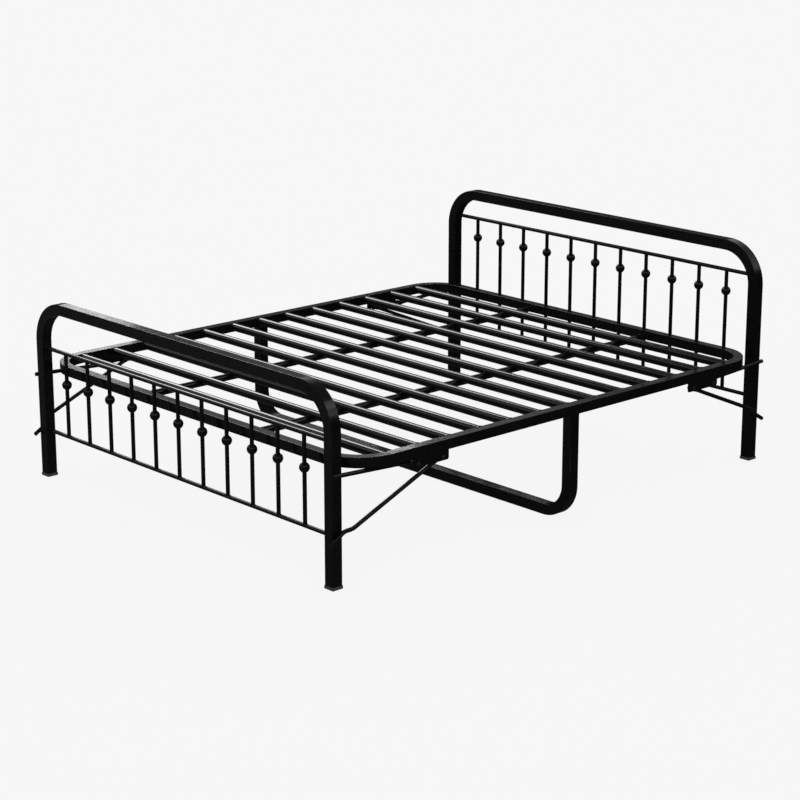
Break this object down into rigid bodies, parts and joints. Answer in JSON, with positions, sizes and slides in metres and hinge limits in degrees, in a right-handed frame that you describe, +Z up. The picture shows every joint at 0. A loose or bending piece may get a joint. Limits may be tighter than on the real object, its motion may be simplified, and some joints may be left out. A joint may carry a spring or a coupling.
{
  "type": "folding metal bed frame",
  "caption": "Black double bed frame with a slatted tube platform, arched end boards with ball spindles, and stay rods that let the boards fold under.",
  "frame": {"origin": "on the floor below the middle of the bed", "axes": "+X across the bed to its right side, +Y towards the head board, +Z up"},
  "size_m": [1.677, 2.0592, 0.792],
  "materials": {
    "gloss_black_paint": "gloss black enamel on steel tube",
    "blackened_hardware": "dark satin fasteners",
    "foot_cap_plastic": "dark grey moulded plastic"
  },
  "bodies": {
    "platform": {"platform_frame": "gloss_black_paint", "slat_01": "gloss_black_paint", "slat_02": "gloss_black_paint", "slat_03": "gloss_black_paint", "slat_04": "gloss_black_paint", "slat_05": "gloss_black_paint", "slat_06": "gloss_black_paint", "slat_07": "gloss_black_paint", "slat_08": "gloss_black_paint", "slat_09": "gloss_black_paint", "slat_10": "gloss_black_paint", "slat_11": "gloss_black_paint", "slat_12": "gloss_black_paint", "slat_13": "gloss_black_paint", "stringer_left": "gloss_black_paint", "stringer_right": "gloss_black_paint", "centre_leg": "gloss_black_paint", "bracket_foot_left": "gloss_black_paint", "bracket_foot_right": "gloss_black_paint", "bracket_head_left": "gloss_black_paint", "bracket_head_right": "gloss_black_paint", "pivot_bolts": "blackened_hardware", "pivot_nuts": "blackened_hardware", "pivot_clips": "blackened_hardware", "pivot_spacers": "blackened_hardware"},
    "foot_board": {"foot_board_frame": "gloss_black_paint", "foot_board_upper_bar": "gloss_black_paint", "foot_board_lower_bar": "gloss_black_paint", "foot_board_spindles": "gloss_black_paint", "foot_board_balls": "gloss_black_paint", "foot_board_caps": "foot_cap_plastic", "foot_board_pins": "blackened_hardware"},
    "foot_upper_stays": {"foot_upper_stay_left": "gloss_black_paint", "foot_upper_stay_right": "gloss_black_paint"},
    "foot_lower_stays": {"foot_lower_stay_left": "gloss_black_paint", "foot_lower_stay_right": "gloss_black_paint"},
    "head_board": {"head_board_frame": "gloss_black_paint", "head_board_upper_bar": "gloss_black_paint", "head_board_lower_bar": "gloss_black_paint", "head_board_spindles": "gloss_black_paint", "head_board_balls": "gloss_black_paint", "head_board_caps": "foot_cap_plastic", "head_board_pins": "blackened_hardware"},
    "head_upper_stays": {"head_upper_stay_left": "gloss_black_paint", "head_upper_stay_right": "gloss_black_paint"},
    "head_lower_stays": {"head_lower_stay_left": "gloss_black_paint", "head_lower_stay_right": "gloss_black_paint"}
  },
  "joints": [
    {"name": "foot_fold", "type": "hinge", "parent": "platform", "child": "foot_upper_stays", "pos_m": [0, -0.698, 0.35], "axis": [1, 0, 0], "range_deg": [0, 176]},
    {"name": "foot_board_turn", "type": "hinge", "parent": "foot_upper_stays", "child": "foot_board", "pos_m": [0, -1, 0.36635], "axis": [-1, 0, 0], "range_deg": [0, 86.5]},
    {"name": "foot_lower_stay_turn", "type": "hinge", "parent": "platform", "child": "foot_lower_stays", "pos_m": [0, -0.594, 0.35], "axis": [1, 0, 0], "range_deg": [0, 153.1]},
    {"name": "head_fold", "type": "hinge", "parent": "platform", "child": "head_upper_stays", "pos_m": [0, 0.698, 0.35], "axis": [-1, 0, 0], "range_deg": [0, 176]},
    {"name": "head_board_turn", "type": "hinge", "parent": "head_upper_stays", "child": "head_board", "pos_m": [0, 1, 0.36635], "axis": [1, 0, 0], "range_deg": [0, 86.5]},
    {"name": "head_lower_stay_turn", "type": "hinge", "parent": "platform", "child": "head_lower_stays", "pos_m": [0, 0.594, 0.35], "axis": [-1, 0, 0], "range_deg": [0, 153.1]}
  ],
  "couplings": [
    {"joint": "foot_board_turn", "follows": "foot_fold", "ratio": 0.4858},
    {"joint": "foot_lower_stay_turn", "follows": "foot_fold", "ratio": 0.867},
    {"joint": "head_board_turn", "follows": "head_fold", "ratio": 0.4858},
    {"joint": "head_lower_stay_turn", "follows": "head_fold", "ratio": 0.867}
  ]
}
